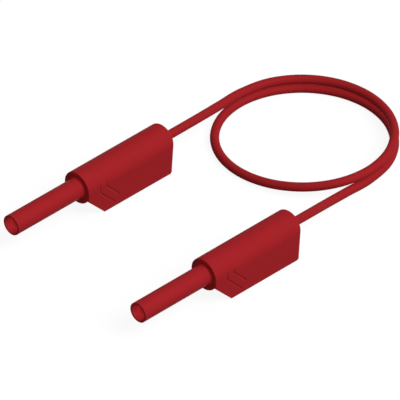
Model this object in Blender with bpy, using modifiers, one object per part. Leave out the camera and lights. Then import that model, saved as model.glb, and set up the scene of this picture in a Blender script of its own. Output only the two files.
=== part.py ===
"""Safety test lead: one flexible cable with a stackable 4 mm safety plug at each end.

A plug is a moulded housing with a rigid insulating shroud round its sprung contact pin. Below the cable,
in the flag of the housing, a shrouded socket opens to the rear and takes the plug of a second lead. The
plugs lie side by side on their flat undersides, pointing to -Y, and the cable lies behind them in one and
a half turns. Lengths are in metres and +Z is up. The origin is on the table, midway between the plugs.
"""

import math

import bmesh
import bpy
from mathutils import Matrix, Vector
from mathutils.geometry import interpolate_bezier

MM = 0.001

# Fits between separate pieces
FIT = 0.2 * MM
MATING_PLAY = 0.1 * MM
END_PLAY = 0.6 * MM

# Cable
CABLE_D = 3.45 * MM
CORE_D = 2.6 * MM
CONDUCTOR_D = 2.0 * MM
CORE_SHOWN = 4.1 * MM

# Insulating shroud round the contact pin
SHROUD_D = 8.0 * MM
SHROUD_WALL = 0.8 * MM
SHROUD_LENGTH = 33.4 * MM
SHROUD_ROOT = 4.9 * MM
SHROUD_FLOOR = 1.6 * MM
SHROUD_EDGE = 0.25 * MM
RIB_HEIGHT = 0.8 * MM
RIB_WIDTH = 1.2 * MM
RIB_SETBACK = 1.6 * MM

# Contact pin with its spring cage and pressed-on nose
PIN_D = 3.95 * MM
TIP_RECESS = 4.6 * MM
NOSE_LENGTH = 2.2 * MM
NOSE_ROUND = 0.9 * MM
SPIGOT_D = 1.6 * MM
SPIGOT_LENGTH = 1.2 * MM
NECK_D = 2.5 * MM
CAGE_LENGTH = 17.5 * MM
CAGE_SHEET = 0.25 * MM
CAGE_BAND = 1.4 * MM
CAGE_BULGE_D = 4.15 * MM
CAGE_SLATS = 8
SLOT_WIDTH = 0.55 * MM
COLLAR_D = 6.0 * MM
COLLAR_WIDTH = 1.4 * MM
STEM_D = 3.8 * MM
STEM_LENGTH = 11.1 * MM
CRIMP_BORE_D = 2.4 * MM
CRIMP_DEPTH = 7.0 * MM

# Link plate from the pin to the socket contact
LINK_THICKNESS = 1.2 * MM
LINK_PIN_END_D = 6.0 * MM
LINK_SOCKET_END_D = 3.9 * MM

# Stacking socket in the flag
SLEEVE_WALL = 0.4 * MM
SLEEVE_PLAY = 0.15 * MM
SLEEVE_RECESS = 4.5 * MM
SLEEVE_LIP = 1.0 * MM
SLEEVE_FOOT = 1.1 * MM
SLEEVE_EDGE = 0.25 * MM
CONTACT_END_WALL = 1.8 * MM
CONTACT_BORE_D = 4.0 * MM
RIVET_D = 2.4 * MM
LIP_BORE_D = 4.3 * MM

# Moulded housing
BARREL_D = 12.8 * MM
FLAG_BOTTOM_WIDTH = 12.0 * MM
NOSE_DROP = 3.4 * MM
UNDERSIDE_SLOPE = math.radians(45.0)
PARTITION = 0.7 * MM
WEB = 0.8 * MM
FLAG_FLOOR = 1.0 * MM
FRONT_EDGE = 0.5 * MM
REAR_EDGE = 1.2 * MM
REAR_TOP_EDGE = 0.6 * MM
REAR_BOTTOM_EDGE = 1.6 * MM
LONG_EDGE = 0.2 * MM

# Grip grooves on the flag's sides: where the first one turns, how far apart they run, and their two legs
GROOVE_WIDTH = 0.6 * MM
GROOVE_DEPTH = 0.25 * MM
GROOVE_PITCH = 3.4 * MM
GROOVE_FIRST = 5.9 * MM
GROOVE_BEND_DROP = 2.2 * MM
GROOVE_LEGS = ((3.6 * MM, 11.0 * MM), (3.4 * MM, 9.2 * MM))

# How the two plugs lie
PLUG_SPACING = 71.1 * MM
PLUG_STAGGER = 5.8 * MM

# Cable loop on the table
CABLE_LIE = CABLE_D / 2 + 0.05 * MM
LOOP_RADIUS = 33.0 * MM
LOOP_TURN = math.radians(540.0)
LOOP_STEPS_PER_TURN = 16
LOOP_START_CENTRE = Vector((-13.15, 92.85, 0.0)) * MM
LOOP_END_CENTRE = Vector((-7.05, 86.75, 0.0)) * MM
STACK_RISE = CABLE_D + 0.45 * MM
DESCENT_START = math.radians(195.0)
DESCENT_END = math.radians(280.0)
CABLE_POINT_SPACING = 2.3 * CABLE_D
CURVE_READINGS = 24

# Leads from the plugs to the loop, as points chosen along the cable
LEAD_A = ((-36.55, 52.6, 10.93), (-38.85, 65.1, 8.73), (-41.15, 77.5, 6.63))
LEAD_B = ((26.25, 75.8, 2.23), (29.15, 62.4, 5.33), (33.65, 47.6, 9.93))

# Fineness of round shapes
BARREL_STEPS = 48
SHROUD_STEPS = 36
ROUND_STEPS = 28
CUT_PAST = 1.0 * MM

# Sizes that follow from the ones above
SHROUD_R = SHROUD_D / 2
SHROUD_BORE_R = SHROUD_R - SHROUD_WALL
CABLE_HOLE_R = CABLE_D / 2 + FIT
RECESS_R = SHROUD_R + MATING_PLAY
SLEEVE_R = SHROUD_BORE_R - SLEEVE_PLAY
SLEEVE_BORE_R = SLEEVE_R - SLEEVE_WALL
CONTACT_R = SLEEVE_BORE_R - FIT
SOCKET_DROP = CABLE_HOLE_R + WEB + RECESS_R
FLAG_DROP = SOCKET_DROP + RECESS_R + FLAG_FLOOR
BARREL_R = BARREL_D / 2
WIDEST_EDGE = max(FRONT_EDGE, REAR_EDGE, REAR_TOP_EDGE, REAR_BOTTOM_EDGE, LONG_EDGE)

# Stations along a plug's axis, measured rearwards from the front face of its barrel
COLLAR_AT = SHROUD_ROOT + FIT
LINK_AT = COLLAR_AT + COLLAR_WIDTH + FIT
PARTITION_AT = LINK_AT + LINK_THICKNESS + FIT
FOOT_AT = PARTITION_AT + PARTITION + FIT
RECESS_AT = FOOT_AT + SLEEVE_FOOT
BODY_LENGTH = RECESS_AT + SHROUD_LENGTH + END_PLAY
TIP_AT = TIP_RECESS - SHROUD_LENGTH
NECK_AT = TIP_AT + NOSE_LENGTH
SHANK_AT = NECK_AT + CAGE_LENGTH
STEM_END = LINK_AT + LINK_THICKNESS + STEM_LENGTH
CORE_AT = STEM_END + FIT
JACKET_AT = CORE_AT + CORE_SHOWN + FIT
SLEEVE_END = BODY_LENGTH - SLEEVE_RECESS
CONTACT_END = SLEEVE_END - SLEEVE_LIP - FIT
CONTACT_AT = FOOT_AT + FIT


def srgb(red, green, blue):
    """A screen colour, 0 to 255, as the linear values that a shader takes."""
    def channel(value):
        value /= 255.0
        return value / 12.92 if value <= 0.04045 else ((value + 0.055) / 1.055) ** 2.4
    return (channel(red), channel(green), channel(blue), 1.0)


def material(name, colour, roughness, metallic=0.0):
    """A plain surface of one colour."""
    made = bpy.data.materials.new(name)
    made.use_nodes = True
    shader = made.node_tree.nodes["Principled BSDF"]
    shader.inputs["Base Color"].default_value = colour
    shader.inputs["Roughness"].default_value = roughness
    shader.inputs["Metallic"].default_value = metallic
    made.diffuse_color = colour
    return made


def link(made, collection):
    """Puts an object into a collection and returns it."""
    collection.objects.link(made)
    return made


def as_mesh(source, name, transform=Matrix.Identity(4)):
    """The evaluated shape of an object as a welded mesh, moved by a transform. The source is removed."""
    evaluated = source.evaluated_get(bpy.context.evaluated_depsgraph_get())
    mesh = bpy.data.meshes.new_from_object(evaluated)
    mesh.name = name
    mesh.transform(transform @ source.matrix_world)
    shape = bmesh.new()
    shape.from_mesh(mesh)
    bmesh.ops.remove_doubles(shape, verts=shape.verts, dist=0.001 * MM)
    flat = math.radians(0.5)
    bmesh.ops.dissolve_limit(shape, angle_limit=flat, verts=shape.verts, edges=shape.edges)
    shape.to_mesh(mesh)
    shape.free()
    mesh.shade_smooth()
    mesh.set_sharp_from_angle(angle=math.radians(35))
    bpy.data.objects.remove(source)
    return mesh


def scratch(name, mesh_or_curve):
    """A construction object, hidden from the finished part."""
    made = link(bpy.data.objects.new(name, mesh_or_curve), construction)
    made.hide_render = True
    made.display_type = "WIRE"
    return made


def turned(name, outside, inside=(), drop=0.0, steps=ROUND_STEPS):
    """A turned solid about the plug's axis, or one that lies the given drop below it.

    Both profiles are (station, radius) pairs from the front to the rear. With no inside profile the
    outside one starts and ends on the axis; with one, the two together bound a ring.
    """
    loop = [Vector((radius, 0.0, station)) for station, radius in reversed(outside)]
    loop += [Vector((radius, 0.0, station)) for station, radius in inside]
    profile = bpy.data.meshes.new(name)
    edges = [(i, i + 1) for i in range(len(loop) - 1)]
    if inside:
        edges.append((len(loop) - 1, 0))
    profile.from_pydata(loop, edges, [])
    blank = scratch(name, profile)
    screw = blank.modifiers.new("Screw", "SCREW")
    screw.axis = "Z"
    screw.steps = screw.render_steps = steps
    screw.use_merge_vertices = True
    screw.merge_threshold = 0.01 * MM
    bpy.context.view_layer.update()
    turn_rearwards = Matrix.Rotation(math.radians(-90), 4, "X")
    return as_mesh(blank, name, Matrix.Translation((0.0, 0.0, -drop)) @ turn_rearwards)


def slab(name, outline, thickness, facing):
    """A flat outline given an even thickness about its middle plane, turned by the facing matrix."""
    curve = bpy.data.curves.new(name, "CURVE")
    curve.dimensions = "2D"
    curve.fill_mode = "BOTH"
    curve.extrude = thickness / 2
    spline = curve.splines.new("POLY")
    spline.points.add(len(outline) - 1)
    for point, (across, up) in zip(spline.points, outline):
        point.co = (across, up, 0.0, 1.0)
    spline.use_cyclic_u = True
    blank = scratch(name, curve)
    bpy.context.view_layer.update()
    return as_mesh(blank, name, facing)


# An outline drawn in X and Z faces along the plug; one drawn in Y and Z faces across it
FACING_ALONG = Matrix.Rotation(math.radians(90), 4, "X")
FACING_ACROSS = Matrix(((0, 0, 1, 0), (1, 0, 0, 0), (0, 1, 0, 0), (0, 0, 0, 1)))


def arc(centre, radius, start, end, steps):
    """Points on an arc, both ends included, with angles in degrees."""
    angles = [math.radians(start + (end - start) * i / steps) for i in range(steps + 1)]
    return [(centre[0] + radius * math.cos(a), centre[1] + radius * math.sin(a)) for a in angles]


def carve(blank, *cutters):
    """Cuts the cutters' meshes out of a construction object."""
    for cutter in cutters:
        cut = blank.modifiers.new("Cut", "BOOLEAN")
        cut.operation = "DIFFERENCE"
        cut.solver = "EXACT"
        cut.object = scratch(cutter.name + "_cutter", cutter)
    bpy.context.view_layer.update()


def weigh_housing_edges(mesh):
    """Gives each edge of the plain housing its share of the widest rounding."""
    weights = mesh.attributes.new("bevel_weight_edge", "FLOAT", "EDGE")
    near = 0.01 * MM
    for edge in mesh.edges:
        a, b = (mesh.vertices[i].co for i in edge.vertices)
        middle = (a + b) / 2
        at_bottom = a.z < near - FLAG_DROP and b.z < near - FLAG_DROP
        rounding = 0.0
        if abs(a.y - b.y) < near:
            if middle.y < near:
                rounding = 0.0 if at_bottom else FRONT_EDGE
            elif at_bottom:
                rounding = REAR_BOTTOM_EDGE
            else:
                climb = min(max(middle.z, 0.0) / (0.75 * BARREL_R), 1.0)
                rounding = REAR_EDGE + (REAR_TOP_EDGE - REAR_EDGE) * climb
        elif at_bottom:
            rounding = LONG_EDGE
        weights.data[edge.index].value = rounding / WIDEST_EDGE


def housing_outside():
    """The housing before its bores: round on top, with straight tapering sides and a flat underside."""
    half_bottom = FLAG_BOTTOM_WIDTH / 2
    outline = arc((0.0, 0.0), BARREL_R, 0, 180, BARREL_STEPS // 2)
    outline += [(-half_bottom, -FLAG_DROP), (half_bottom, -FLAG_DROP)]
    middle = Matrix.Translation((0.0, BODY_LENGTH / 2, 0.0))
    mesh = slab("housing", outline, BODY_LENGTH, middle @ FACING_ALONG)
    weigh_housing_edges(mesh)
    blank = scratch("housing", mesh)
    bevel = blank.modifiers.new("Bevel", "BEVEL")
    bevel.limit_method = "WEIGHT"
    bevel.width = WIDEST_EDGE
    bevel.segments = 4
    bevel.use_clamp_overlap = False
    return blank


def underside_cutter():
    """What the sloping front of the flag leaves out. It stays clear of the barrel's round belly."""
    run = (FLAG_DROP - NOSE_DROP) / math.tan(UNDERSIDE_SLOPE)
    past = CUT_PAST
    rise = past * math.tan(UNDERSIDE_SLOPE)
    outline = [(-past, rise - NOSE_DROP), (-past, -rise - FLAG_DROP), (run + past, -rise - FLAG_DROP)]
    wedge = scratch("underside", slab("underside", outline, 2 * BARREL_D, FACING_ACROSS))
    belly = arc((FRONT_EDGE, BARREL_R - FRONT_EDGE), FRONT_EDGE, 180, 90, 4)
    profile = [(0.0, 0.0), *belly, (BARREL_D, BARREL_R), (BARREL_D, 0.0)]
    carve(wedge, turned("belly", profile, steps=BARREL_STEPS))
    return as_mesh(wedge, "underside")


def pin_cavity():
    """The room along the plug's axis for shroud, collar, stem, stripped core and cable."""
    root_r = SHROUD_R + FIT
    rib_r = SHROUD_R + RIB_HEIGHT + FIT
    rib_front = RIB_SETBACK - FIT
    rib_rear = RIB_SETBACK + RIB_WIDTH + FIT
    collar_r = COLLAR_D / 2 + FIT
    collar_rear = COLLAR_AT + COLLAR_WIDTH + FIT / 2
    stem_r = STEM_D / 2 + FIT
    core_r = CORE_D / 2 + FIT
    jacket_at = JACKET_AT - FIT
    rear = BODY_LENGTH + CUT_PAST
    steps = [
        (-CUT_PAST, 0.0), (-CUT_PAST, root_r), (rib_front, root_r), (rib_front, rib_r), (rib_rear, rib_r),
        (rib_rear, root_r), (COLLAR_AT, root_r), (COLLAR_AT, collar_r), (collar_rear, collar_r),
        (collar_rear, stem_r), (CORE_AT, stem_r), (CORE_AT, core_r), (jacket_at, core_r),
        (jacket_at, CABLE_HOLE_R), (rear, CABLE_HOLE_R), (rear, 0.0),
    ]
    return turned("pin_cavity", steps)


def socket_cavity():
    """The room for the rivet, the sleeve's foot and, open to the rear, the shroud of a second plug."""
    rivet_r = RIVET_D / 2 + FIT
    foot_r = SLEEVE_R + FIT
    front = LINK_AT + LINK_THICKNESS / 2
    foot_front = FOOT_AT - FIT
    rear = BODY_LENGTH + CUT_PAST
    steps = [
        (front, 0.0), (front, rivet_r), (foot_front, rivet_r), (foot_front, foot_r), (RECESS_AT, foot_r),
        (RECESS_AT, RECESS_R), (rear, RECESS_R), (rear, 0.0),
    ]
    return turned("socket_cavity", steps, drop=SOCKET_DROP)


def link_outline(margin):
    """The link plate's outline, grown by a margin: two round ends joined by their outer tangents."""
    top_r = LINK_PIN_END_D / 2 + margin
    low_r = LINK_SOCKET_END_D / 2 + margin
    lean = math.degrees(math.asin((top_r - low_r) / SOCKET_DROP))
    top = arc((0.0, 0.0), top_r, -lean, 180 + lean, 14)
    low = arc((0.0, -SOCKET_DROP), low_r, 180 + lean, 360 - lean, 10)
    return top + low


def groove_cutter(side, turn, legs):
    """A grip groove in one side of the flag: upright, then down and back beside the sloping front."""
    half = GROOVE_WIDTH / 2
    up, down = legs
    slope = UNDERSIDE_SLOPE
    shift = turn * GROOVE_PITCH
    bend = Vector((0.0, GROOVE_FIRST + shift, shift * math.tan(slope / 2) - GROOVE_BEND_DROP))
    inner_bend = half * math.tan(slope / 2)
    along, fall = math.cos(slope), math.sin(slope)
    foot = (down * along, -down * fall)
    outline = [
        (-half, up), (-half, -inner_bend), (foot[0] - half * fall, foot[1] - half * along),
        (foot[0] + half * fall, foot[1] + half * along), (half, inner_bend), (half, up),
    ]
    reach = GROOVE_DEPTH + CUT_PAST
    bar = slab(f"groove_{side}_{turn}", outline, reach, FACING_ACROSS)
    lean = math.atan((BARREL_D - FLAG_BOTTOM_WIDTH) / 2 / FLAG_DROP)
    bar.transform(Matrix.Translation(bend + Vector((BARREL_R - GROOVE_DEPTH + reach / 2, 0.0, 0.0))))
    bar.transform(Matrix.Translation((BARREL_R, 0, 0)) @ Matrix.Rotation(lean, 4, "Y")
                  @ Matrix.Translation((-BARREL_R, 0, 0)))
    if side == "left":
        bar.transform(Matrix.Scale(-1, 4, (1, 0, 0)))
        bar.flip_normals()
    return bar


def housing():
    """Moulded body of a plug, with the rooms that it is moulded round and its open rear socket."""
    link_room = Matrix.Translation((0.0, LINK_AT + LINK_THICKNESS / 2, 0.0))
    room = slab("link_room", link_outline(FIT), LINK_THICKNESS + 2 * FIT, link_room @ FACING_ALONG)
    grooves = [
        groove_cutter(side, turn, legs)
        for side in ("right", "left")
        for turn, legs in enumerate(GROOVE_LEGS)
    ]
    blank = housing_outside()
    carve(blank, underside_cutter(), pin_cavity(), room, socket_cavity(), *grooves)
    return as_mesh(blank, "housing")


def shroud():
    """Rigid insulating tube round the pin, held in the housing by a rib. Its floor stops the pin's collar."""
    edge = SHROUD_EDGE
    mouth = -SHROUD_LENGTH
    rib_r = SHROUD_R + RIB_HEIGHT
    rib_rear = RIB_SETBACK + RIB_WIDTH
    floor_front = SHROUD_ROOT - SHROUD_FLOOR
    pin_r = PIN_D / 2 + FIT
    outside = [
        (mouth, SHROUD_R - edge), (mouth + edge, SHROUD_R), (RIB_SETBACK, SHROUD_R), (RIB_SETBACK, rib_r),
        (rib_rear, rib_r), (rib_rear, SHROUD_R), (SHROUD_ROOT, SHROUD_R),
    ]
    inside = [
        (mouth, SHROUD_BORE_R + edge), (mouth + edge, SHROUD_BORE_R), (floor_front, SHROUD_BORE_R),
        (floor_front, pin_r), (SHROUD_ROOT, pin_r),
    ]
    return turned("shroud", outside, inside, steps=SHROUD_STEPS)


def contact_pin():
    """Turned pin: spigot, neck for the spring cage, shank, collar, stem and the crimp bore behind."""
    shank_r = PIN_D / 2
    collar_r = COLLAR_D / 2
    stem_r = STEM_D / 2
    spigot_at = NECK_AT - SPIGOT_LENGTH
    crimp_floor = STEM_END - CRIMP_DEPTH
    outside = [
        (spigot_at, 0.0), (spigot_at, SPIGOT_D / 2), (NECK_AT, SPIGOT_D / 2), (NECK_AT, NECK_D / 2),
        (SHANK_AT, NECK_D / 2), (SHANK_AT, shank_r), (COLLAR_AT, shank_r), (COLLAR_AT, collar_r),
        (COLLAR_AT + COLLAR_WIDTH, collar_r), (COLLAR_AT + COLLAR_WIDTH, stem_r), (STEM_END, stem_r),
        (STEM_END, CRIMP_BORE_D / 2), (crimp_floor, CRIMP_BORE_D / 2), (crimp_floor, 0.0),
    ]
    return turned("contact_pin", outside)


def pin_nose():
    """Rounded nose pressed on the pin's spigot, which keeps the spring cage on its neck."""
    nose_r = PIN_D / 2
    dome = arc((TIP_AT + NOSE_ROUND, nose_r - NOSE_ROUND), NOSE_ROUND, 180, 90, 3)
    hole_r = SPIGOT_D / 2 + FIT
    hole_floor = NECK_AT - SPIGOT_LENGTH - FIT
    rear = NECK_AT - FIT
    outside = [(TIP_AT, 0.0), *dome, (rear, nose_r), (rear, hole_r), (hole_floor, hole_r), (hole_floor, 0.0)]
    return turned("pin_nose", outside)


def contact_spring():
    """Spring cage: a sheet sleeve slit into slats that bow out between two closed bands."""
    front, rear = NECK_AT + FIT, SHANK_AT - FIT
    band_r = NECK_D / 2 + FIT + CAGE_SHEET
    bulge_r = CAGE_BULGE_D / 2
    slat_front, slat_rear = front + CAGE_BAND, rear - CAGE_BAND
    bow_steps = 4
    bow = []
    for i in range(bow_steps + 1):
        share = i / bow_steps
        station = slat_front + (slat_rear - slat_front) * share
        bow.append((station, band_r + (bulge_r - band_r) * math.sin(math.pi * share)))
    outside = [(front, band_r), *bow, (rear, band_r)]
    inside = [(station, radius - CAGE_SHEET) for station, radius in outside]
    blank = scratch("contact_spring", turned("contact_spring", outside, inside, steps=4 * CAGE_SLATS))
    slit = 0.3 * MM
    length = slat_rear - slat_front - 2 * slit
    middle = (slat_front + slat_rear) / 2
    slots = []
    for i in range(CAGE_SLATS // 2):
        bar = bmesh.new()
        bmesh.ops.create_cube(bar, size=1.0)
        bmesh.ops.scale(bar, vec=(SLOT_WIDTH, length, 2 * CAGE_BULGE_D), verts=bar.verts)
        across = Matrix.Rotation(math.pi * (i + 0.5) / (CAGE_SLATS // 2), 4, "Y")
        bmesh.ops.transform(bar, matrix=Matrix.Translation((0, middle, 0)) @ across, verts=bar.verts)
        mesh = bpy.data.meshes.new(f"slot_{i}")
        bar.to_mesh(mesh)
        bar.free()
        slots.append(mesh)
    carve(blank, *slots)
    return as_mesh(blank, "contact_spring")


def contact_link():
    """Plate that joins the pin's stem to the rivet of the socket contact."""
    at_link = Matrix.Translation((0.0, LINK_AT + LINK_THICKNESS / 2, 0.0))
    plate = slab("contact_link", link_outline(0.0), LINK_THICKNESS, at_link @ FACING_ALONG)
    blank = scratch("contact_link", plate)
    front, rear = LINK_AT - CUT_PAST, LINK_AT + LINK_THICKNESS + CUT_PAST

    def hole(name, radius, drop):
        return turned(name, [(front, 0.0), (front, radius), (rear, radius), (rear, 0.0)], drop=drop)

    carve(blank, hole("stem_hole", STEM_D / 2 + FIT, 0.0), hole("rivet_hole", RIVET_D / 2 + FIT, SOCKET_DROP))
    return as_mesh(blank, "contact_link")


def socket_contact():
    """Turned 4 mm contact tube of the stacking socket, with the rivet that holds it to the link plate."""
    bore_r = CONTACT_BORE_D / 2
    rivet_r = RIVET_D / 2
    bore_floor = CONTACT_AT + CONTACT_END_WALL
    outside = [
        (LINK_AT, 0.0), (LINK_AT, rivet_r), (CONTACT_AT, rivet_r), (CONTACT_AT, CONTACT_R),
        (CONTACT_END, CONTACT_R), (CONTACT_END, bore_r), (bore_floor, bore_r), (bore_floor, 0.0),
    ]
    return turned("socket_contact", outside, drop=SOCKET_DROP)


def socket_sleeve():
    """Insulating sleeve over the socket contact, with a lip that covers the contact's open end."""
    lip_at = SLEEVE_END - SLEEVE_LIP
    lip_r = LIP_BORE_D / 2
    edge = SLEEVE_EDGE
    outside = [(FOOT_AT, SLEEVE_R), (SLEEVE_END - edge, SLEEVE_R), (SLEEVE_END, SLEEVE_R - edge)]
    inside = [(FOOT_AT, SLEEVE_BORE_R), (lip_at, SLEEVE_BORE_R), (lip_at, lip_r), (SLEEVE_END, lip_r)]
    return turned("socket_sleeve", outside, inside, drop=SOCKET_DROP)


def core():
    """Inner insulation of the cable where the jacket is stripped back from it."""
    radius = CORE_D / 2
    rear = CORE_AT + CORE_SHOWN
    return turned("core", [(CORE_AT, 0.0), (CORE_AT, radius), (rear, radius), (rear, 0.0)])


def conductor():
    """Bare copper end of the cable in the pin's crimp bore."""
    radius = CONDUCTOR_D / 2
    front, rear = STEM_END - CRIMP_DEPTH + FIT, STEM_END
    return turned("conductor", [(front, 0.0), (front, radius), (rear, radius), (rear, 0.0)])


def loop_points():
    """The cable's turns: a circle whose centre drifts. Its first half lies on its last, then comes down."""
    steps = round(LOOP_STEPS_PER_TURN * LOOP_TURN / math.tau)
    points = []
    for i in range(steps + 1):
        share = i / steps
        angle = share * LOOP_TURN
        centre = LOOP_START_CENTRE.lerp(LOOP_END_CENTRE, share)
        descent = min(max((angle - DESCENT_START) / (DESCENT_END - DESCENT_START), 0.0), 1.0)
        rise = STACK_RISE * (1 + math.cos(math.pi * descent)) / 2
        place = Vector((-math.cos(angle), math.sin(angle), 0.0)) * LOOP_RADIUS
        points.append(centre + place + Vector((rise, -rise, CABLE_LIE + rise)))
    return points


def smooth_through(points):
    """Closely spaced readings of a smooth curve through the points."""
    last = len(points) - 1
    pulls = [(points[min(i + 1, last)] - points[max(i - 1, 0)]) / 6 for i in range(last + 1)]
    readings = [points[0]]
    for i in range(last):
        start, end = points[i], points[i + 1]
        readings += interpolate_bezier(start, start + pulls[i], end - pulls[i + 1], end, CURVE_READINGS)[1:]
    return readings


def evenly_spaced(readings, spacing):
    """Points picked from the readings at even distances, with both ends kept."""
    distances = [0.0]
    for before, after in zip(readings, readings[1:]):
        distances.append(distances[-1] + (after - before).length)
    count = max(round(distances[-1] / spacing), 1)
    picked = []
    nearest = 0
    for i in range(count):
        wanted = distances[-1] * i / count
        while distances[nearest] < wanted:
            nearest += 1
        picked.append(readings[nearest])
    return picked + [readings[-1]]


def cable(plug_a, plug_b):
    """The whole cable, from the stripped end in one plug to that in the other."""
    def ends(plug):
        inner = plug + Vector((0.0, JACKET_AT, 0.0))
        outlet = plug + Vector((0.0, BODY_LENGTH, 0.0))
        return [inner, inner.lerp(outlet, 0.5), outlet]

    lead_a = [Vector(point) * MM for point in LEAD_A]
    lead_b = [Vector(point) * MM for point in LEAD_B]
    route = ends(plug_a) + lead_a + loop_points() + lead_b + ends(plug_b)[::-1]
    points = evenly_spaced(smooth_through(route), CABLE_POINT_SPACING)
    curve = bpy.data.curves.new("cable", "CURVE")
    curve.dimensions = "3D"
    curve.bevel_depth = CABLE_D / 2
    curve.bevel_resolution = 2
    curve.use_fill_caps = True
    spline = curve.splines.new("POLY")
    spline.points.add(len(points) - 1)
    for point, place in zip(spline.points, points):
        point.co = (*place, 1.0)
    return bpy.data.objects.new("cable", curve)


for old in list(bpy.data.objects):
    bpy.data.objects.remove(old)

part = bpy.data.collections.new("safety_test_lead")
construction = bpy.data.collections.new("construction")
for collection in (part, construction):
    bpy.context.scene.collection.children.link(collection)

RED = srgb(165, 35, 40)
red_moulding = material("red_moulding", RED, 0.42)
red_jacket = material("red_jacket", RED, 0.5)
white_insulation = material("white_insulation", srgb(225, 222, 214), 0.5)
nickel = material("nickel_plate", srgb(200, 196, 186), 0.28, 1.0)
spring_bronze = material("spring_bronze", srgb(196, 160, 96), 0.32, 1.0)
copper = material("copper", srgb(190, 110, 78), 0.4, 1.0)

PIECES = (
    (housing, red_moulding),
    (shroud, red_moulding),
    (contact_pin, nickel),
    (pin_nose, nickel),
    (contact_spring, spring_bronze),
    (contact_link, nickel),
    (socket_contact, nickel),
    (socket_sleeve, red_moulding),
    (core, white_insulation),
    (conductor, copper),
)

# The plugs' front faces, placed so that the two plugs together are centred on the origin
MIDDLE = (SHROUD_LENGTH - BODY_LENGTH) / 2
PLUGS = {
    "a": Vector((-PLUG_SPACING / 2, MIDDLE + PLUG_STAGGER / 2, FLAG_DROP)),
    "b": Vector((PLUG_SPACING / 2, MIDDLE - PLUG_STAGGER / 2, FLAG_DROP)),
}

carriers = {}
for tag, place in PLUGS.items():
    carriers[tag] = link(bpy.data.objects.new(f"plug_{tag}", None), part)
    carriers[tag].location = place

for make, finish in PIECES:
    mesh = make()
    mesh.materials.clear()
    mesh.materials.append(finish)
    for tag, carrier in carriers.items():
        piece = link(bpy.data.objects.new(f"{make.__name__}_{tag}", mesh), part)
        piece.parent = carrier

lead = link(cable(PLUGS["a"], PLUGS["b"]), part)
lead.data.materials.append(red_jacket)
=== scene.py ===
"""Looks of a safety test lead: a flexible red cable with a stackable 4 mm safety plug on each end.

Lengths are in metres. Pieces of a plug are made about its axis, with Y measured rearwards from the front
face of its barrel, and are then moved to both plugs.
"""

import math

import bmesh
import bpy
from mathutils import Matrix, Vector
from mathutils.geometry import interpolate_bezier


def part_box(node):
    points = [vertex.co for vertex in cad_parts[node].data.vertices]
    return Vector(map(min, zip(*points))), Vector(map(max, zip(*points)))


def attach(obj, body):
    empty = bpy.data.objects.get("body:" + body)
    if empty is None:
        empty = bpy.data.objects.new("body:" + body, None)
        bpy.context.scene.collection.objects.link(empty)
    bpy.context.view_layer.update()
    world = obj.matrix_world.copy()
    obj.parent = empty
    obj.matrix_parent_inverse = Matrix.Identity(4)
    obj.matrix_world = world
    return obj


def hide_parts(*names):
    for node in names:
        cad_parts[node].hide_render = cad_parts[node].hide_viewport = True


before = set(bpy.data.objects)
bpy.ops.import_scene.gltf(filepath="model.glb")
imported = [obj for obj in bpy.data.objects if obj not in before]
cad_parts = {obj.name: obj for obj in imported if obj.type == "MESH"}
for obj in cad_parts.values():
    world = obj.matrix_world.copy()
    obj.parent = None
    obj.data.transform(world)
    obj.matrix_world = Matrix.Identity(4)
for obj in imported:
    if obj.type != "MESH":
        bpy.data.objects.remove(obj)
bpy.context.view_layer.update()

# Camera
# The lead is seen as in an isometric drawing, from the right of the plugs' noses and from above. A very
# long lens, far away, keeps parallel edges parallel. The view is 146 mm wide.
MM = 0.001
PICTURE_WIDTH = 146.0 * MM
SENSOR_WIDTH = 36.0
LENS = 1500.0
CLIP_NEAR = 0.1
CLIP_FAR = 100.0
AIM = Vector((-10.35, 35.85, 0.0)) * MM
TOWARDS_VIEWER = Vector((1.0, -1.0, 1.0)).normalized()

camera_data = bpy.data.cameras.new("camera")
camera_data.sensor_width = SENSOR_WIDTH
camera_data.lens = LENS
camera_data.clip_start = CLIP_NEAR
camera_data.clip_end = CLIP_FAR
camera = bpy.data.objects.new("camera", camera_data)
bpy.context.scene.collection.objects.link(camera)
camera.location = AIM + TOWARDS_VIEWER * (PICTURE_WIDTH * LENS / SENSOR_WIDTH)
camera.rotation_euler = (-TOWARDS_VIEWER).to_track_quat("-Z", "Y").to_euler()
bpy.context.scene.camera = camera
bpy.context.scene.view_settings.view_transform = "Standard"


# Where the plugs lie
# Each plug's place is the middle of its barrel's front face, as the frame has it. Its barrel is as wide as
# its housing, and its top is the housing's highest line.
PLUGS = {}
for tag in ("a", "b"):
    low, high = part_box(f"housing_{tag}")
    PLUGS[tag] = Vector(((low.x + high.x) / 2, low.y, high.z - (high.x - low.x) / 2))
low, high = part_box("housing_a")
BARREL_R = (high.x - low.x) / 2
BODY_LENGTH = high.y - low.y
FLAG_DROP = high.z - low.z - BARREL_R


# Cable
# A flexible lead of 3.45 mm with a smooth, slightly dull red jacket. It runs straight out of each housing,
# comes down to the table and lies in one and a half turns, the first half turn on top of the last.
CABLE_D = 3.45 * MM
JACKET_SIDES = 28
JACKET_AT = 23.5 * MM
LEAD_A = ((-36.55, 52.6, 10.93), (-38.85, 65.1, 8.73), (-41.15, 77.5, 6.63))
LEAD_B = ((26.25, 75.8, 2.23), (29.15, 62.4, 5.33), (33.65, 47.6, 9.93))
TABLE_GAP = 0.05 * MM
STACK_GAP = 0.45 * MM
CABLE_LIE = CABLE_D / 2 + TABLE_GAP
STACK_RISE = CABLE_D + STACK_GAP
LOOP_RADIUS = 33.0 * MM
LOOP_TURN = math.radians(540.0)
LOOP_STEPS = 24
LOOP_START_CENTRE = Vector((-13.15, 92.85, 0.0)) * MM
LOOP_END_CENTRE = Vector((-7.05, 86.75, 0.0)) * MM
DESCENT_START = math.radians(195.0)
DESCENT_END = math.radians(280.0)
READINGS = 14


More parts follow.
